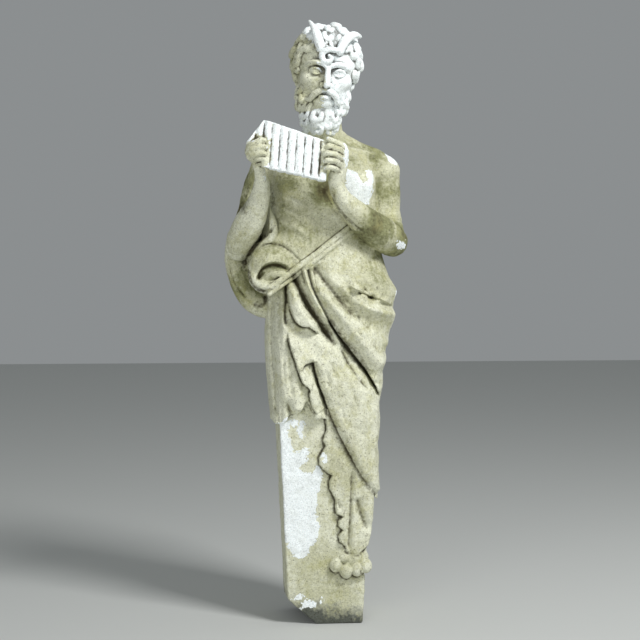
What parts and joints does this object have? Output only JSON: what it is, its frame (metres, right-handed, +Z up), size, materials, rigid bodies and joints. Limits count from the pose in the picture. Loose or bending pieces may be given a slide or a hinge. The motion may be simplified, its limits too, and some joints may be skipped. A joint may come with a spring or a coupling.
{
  "type": "concrete pan statue",
  "caption": "Horned, bearded pipe player as a half figure on a tapering square pillar, draped below the waist: a weathered concrete garden term that stands by its own weight.",
  "frame": {"origin": "middle of the pillar's foot, on the underside", "axes": "+Z up along the pillar, the figure faces -Y, and its left arm is on the +X side"},
  "size_m": [0.4816, 0.379, 1.5902],
  "materials": {
    "concrete": "weathered cast concrete with lichen and moss, dark grime in the hollows and the remains of white paint"
  },
  "bodies": {
    "root": {"pan_statue": "concrete"}
  },
  "joints": []
}
